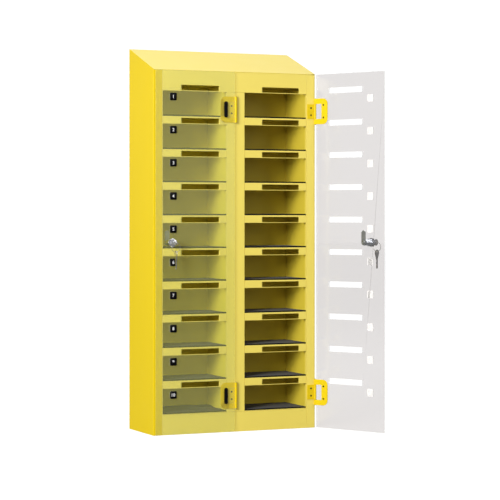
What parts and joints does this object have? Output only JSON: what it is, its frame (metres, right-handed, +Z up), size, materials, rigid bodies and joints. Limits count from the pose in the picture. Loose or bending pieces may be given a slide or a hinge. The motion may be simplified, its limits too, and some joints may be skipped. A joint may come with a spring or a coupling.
{
  "type": "phone charging locker",
  "caption": "Wall-hung or free-standing steel locker with charging bays behind clear hinged doors, each door with a cam lock, keys and drop slots.",
  "frame": {"origin": "centre of the cabinet's base, where it rests: midway between the side panels and midway between the front face and the back panel", "axes": "+X to the viewer's right, +Y to the back, +Z up; the doors are on the -Y side"},
  "size_m": [0.6238, 0.4156, 1.09],
  "materials": {
    "yellow_steel": "bright yellow powder coat, semi-gloss",
    "clear_acrylic": "clear polished acrylic sheet",
    "foam_mat": "black closed-cell foam, matt",
    "black_plastic": "black moulded plastic",
    "circuit_board": "green solder mask",
    "supply_case": "folded aluminium, satin",
    "lead_jacket": "black flexible PVC",
    "zinc_screw": "bright zinc plate",
    "label_plate": "gloss black with white numbers",
    "lock_chrome": "polished chrome plate",
    "key_nickel": "nickel-plated steel"
  },
  "bodies": {
    "cabinet": {"back_panel": "yellow_steel", "back_panel_screws": "zinc_screw", "base_plate": "yellow_steel", "cabinet_leaf_screws": "zinc_screw", "cabinet_leaves": "yellow_steel", "ceiling_sheet": "yellow_steel", "centre_post": "yellow_steel", "head_fascia": "yellow_steel", "hinge_pins": "zinc_screw", "left_charger_board": "circuit_board", "left_liner": "yellow_steel", "left_side_panel": "yellow_steel", "low_voltage_leads": "lead_jacket", "mains_inlet": "black_plastic", "mains_lead": "lead_jacket", "plinth_front": "yellow_steel", "power_supply": "supply_case", "rear_liner": "yellow_steel", "right_charger_board": "circuit_board", "right_liner": "yellow_steel", "right_side_panel": "yellow_steel", "roof": "yellow_steel", "shelf_mats": "foam_mat", "shelves_row_1": "yellow_steel", "shelves_row_10": "yellow_steel", "shelves_row_2": "yellow_steel", "shelves_row_3": "yellow_steel", "shelves_row_4": "yellow_steel", "shelves_row_5": "yellow_steel", "shelves_row_6": "yellow_steel", "shelves_row_7": "yellow_steel", "shelves_row_8": "yellow_steel", "shelves_row_9": "yellow_steel", "usb_outlets": "black_plastic"},
    "left_door_group": {"left_door": "clear_acrylic", "left_labels": "label_plate", "left_door_leaves": "yellow_steel", "left_clamp_strips": "black_plastic", "left_door_screws": "zinc_screw", "left_lock_housing": "lock_chrome", "left_lock_nut": "lock_chrome"},
    "left_lock_group": {"left_lock_plug": "lock_chrome", "left_cam": "zinc_screw", "left_cam_screw": "zinc_screw"},
    "left_key_group": {"left_key": "key_nickel"},
    "left_ring_group": {"left_split_ring": "key_nickel"},
    "left_spare_group": {"left_spare_key": "key_nickel"},
    "right_door_group": {"right_door": "clear_acrylic", "right_labels": "label_plate", "right_door_leaves": "yellow_steel", "right_clamp_strips": "black_plastic", "right_door_screws": "zinc_screw", "right_lock_housing": "lock_chrome", "right_lock_nut": "lock_chrome"},
    "right_lock_group": {"right_lock_plug": "lock_chrome", "right_cam": "zinc_screw", "right_cam_screw": "zinc_screw"},
    "right_key_group": {"right_key": "key_nickel"},
    "right_ring_group": {"right_split_ring": "key_nickel"},
    "right_spare_group": {"right_spare_key": "key_nickel"}
  },
  "joints": [
    {"name": "left_door_hinge", "type": "hinge", "parent": "cabinet", "child": "left_door_group", "pos_m": [-0.001, -0.0992, 0.51], "axis": [0, 0, 1], "range_deg": [0, 130]},
    {"name": "left_lock_turn", "type": "hinge", "parent": "left_door_group", "child": "left_lock_group", "pos_m": [-0.1965, -0.0992, 0.5365], "axis": [0, -1, 0], "range_deg": [0, 90]},
    {"name": "left_key_slide", "type": "slide", "parent": "left_lock_group", "child": "left_key_group", "axis": [0, -1, 0], "range_m": [0, 0.028]},
    {"name": "left_ring_swing", "type": "hinge", "parent": "left_key_group", "child": "left_ring_group", "pos_m": [-0.1965, -0.1296, 0.5365], "axis": [-1, 0, 0], "range_deg": [-10, 60]},
    {"name": "left_spare_swing", "type": "hinge", "parent": "left_ring_group", "child": "left_spare_group", "pos_m": [-0.1965, -0.1296, 0.5107], "axis": [-1, 0, 0], "range_deg": [-8, 60]},
    {"name": "right_door_hinge", "type": "hinge", "parent": "cabinet", "child": "right_door_group", "pos_m": [0.249, -0.0992, 0.51], "axis": [0, 0, 1], "range_deg": [-117, 13]},
    {"name": "right_lock_turn", "type": "hinge", "parent": "right_door_group", "child": "right_lock_group", "pos_m": [0.33776, -0.27339, 0.5365], "axis": [0.891, 0.454, 0], "range_deg": [0, 90]},
    {"name": "right_key_slide", "type": "slide", "parent": "right_lock_group", "child": "right_key_group", "axis": [0.891, 0.454, 0], "range_m": [0, 0.028]},
    {"name": "right_ring_swing", "type": "hinge", "parent": "right_key_group", "child": "right_ring_group", "pos_m": [0.36484, -0.25959, 0.5365], "axis": [0.454, -0.891, 0], "range_deg": [-10, 60]},
    {"name": "right_spare_swing", "type": "hinge", "parent": "right_ring_group", "child": "right_spare_group", "pos_m": [0.36484, -0.25959, 0.5107], "axis": [0.454, -0.891, 0], "range_deg": [-8, 60]}
  ]
}
